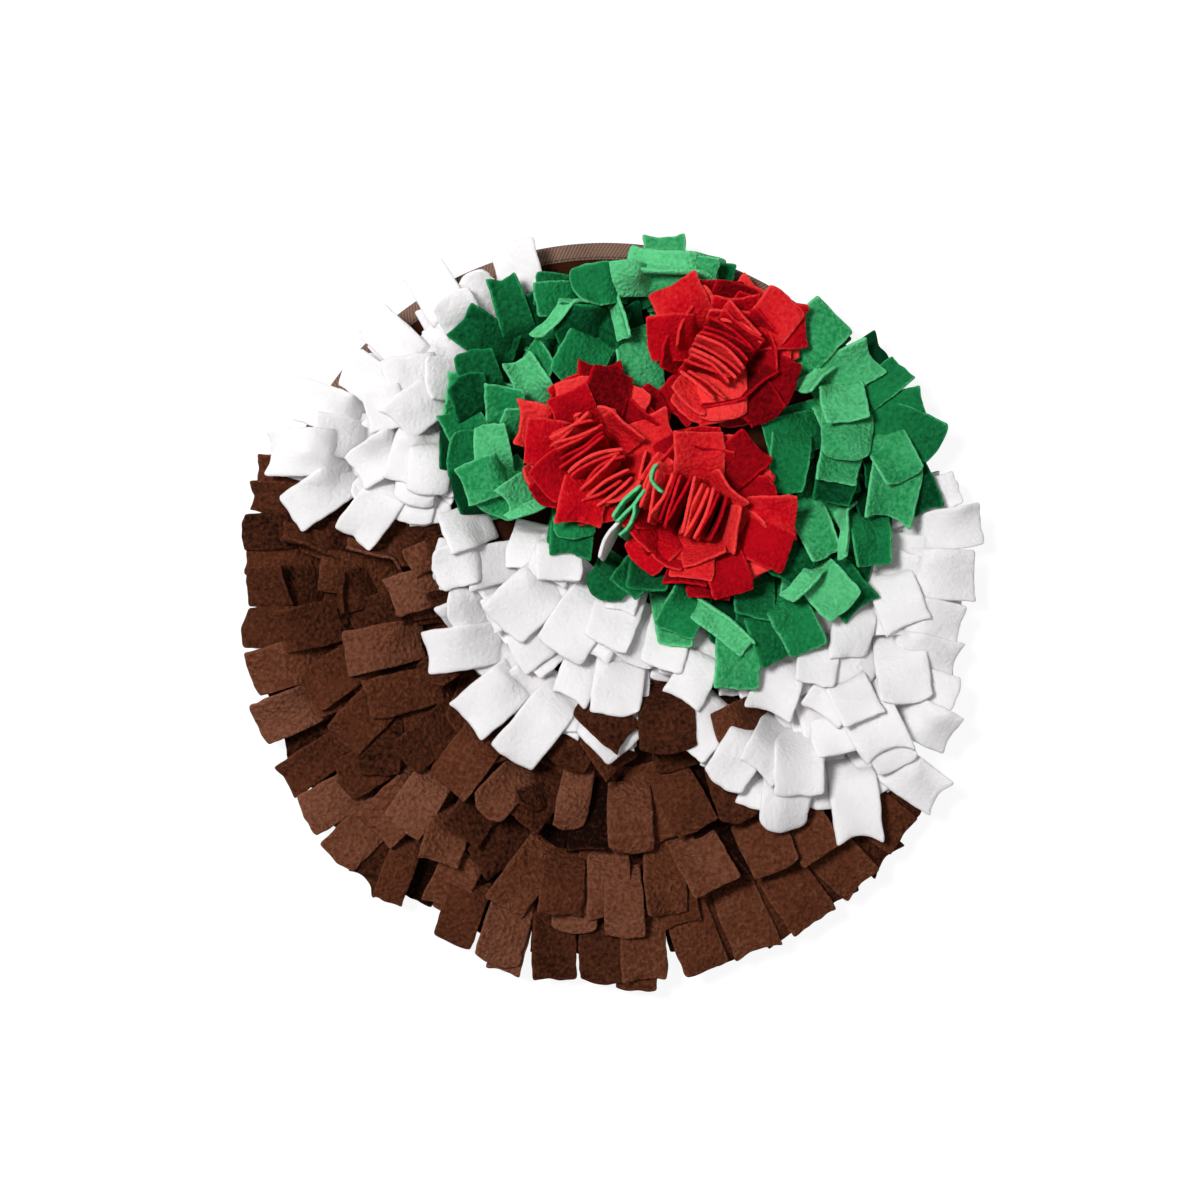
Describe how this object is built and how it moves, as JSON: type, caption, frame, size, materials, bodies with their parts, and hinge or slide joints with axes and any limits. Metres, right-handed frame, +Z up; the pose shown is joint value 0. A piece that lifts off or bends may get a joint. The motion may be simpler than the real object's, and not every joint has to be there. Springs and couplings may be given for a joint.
{
  "type": "christmas pudding snuffle mat for pets",
  "caption": "Flat round pet snuffle mat with rows of fleece fringe in brown, white and green and red fleece rosettes on top, with a bound rim.",
  "frame": {"origin": "middle of the base's flat underside, on the surface that the mat lies on", "axes": "+Z up out of the mat, +Y towards the holly and berries, +X to the right as the pudding is seen"},
  "size_m": [0.4433, 0.4414, 0.0449],
  "materials": {
    "base_cloth": "plain dark brown cloth",
    "binding_tape": "woven brown tape",
    "brown_fleece": "brown fleece",
    "white_fleece": "white fleece",
    "green_fleece": "green fleece",
    "red_fleece": "red fleece"
  },
  "bodies": {
    "root": {"base_cloth": "base_cloth", "rim_binding": "binding_tape", "pudding_row_1": "brown_fleece", "pudding_row_2": "brown_fleece", "pudding_row_3": "brown_fleece", "pudding_row_4": "brown_fleece", "pudding_left_notch": "brown_fleece", "icing_left_row_1": "white_fleece", "icing_left_drip": "white_fleece", "icing_left_row_2": "white_fleece", "icing_left_row_3": "white_fleece", "icing_middle_row_1": "white_fleece", "icing_middle_row_2": "white_fleece", "pudding_right_notch": "brown_fleece", "icing_middle_row_3": "white_fleece", "icing_middle_row_4": "white_fleece", "icing_right_row_1": "white_fleece", "icing_right_row_2": "white_fleece", "icing_right_corner": "white_fleece", "icing_right_row_3": "white_fleece", "icing_right_row_4": "white_fleece", "icing_right_row_5": "white_fleece", "icing_right_row_6": "white_fleece", "holly_under_left_berry": "green_fleece", "holly_under_right_berry": "green_fleece", "holly_bottom_row": "green_fleece", "holly_strip_1": "green_fleece", "holly_strip_2": "green_fleece", "holly_strip_3": "green_fleece", "holly_strip_4": "green_fleece", "holly_strip_5": "green_fleece", "holly_strip_6": "green_fleece", "holly_strip_7": "green_fleece", "holly_strip_8": "green_fleece", "holly_strip_9": "green_fleece", "holly_strip_10": "green_fleece", "holly_strip_11": "green_fleece", "holly_strip_12": "green_fleece", "holly_strip_13": "green_fleece", "holly_strip_14": "green_fleece", "holly_strip_15": "green_fleece", "holly_strip_16": "green_fleece", "berry_top": "red_fleece", "berry_left": "red_fleece", "berry_right": "red_fleece"}
  },
  "joints": []
}
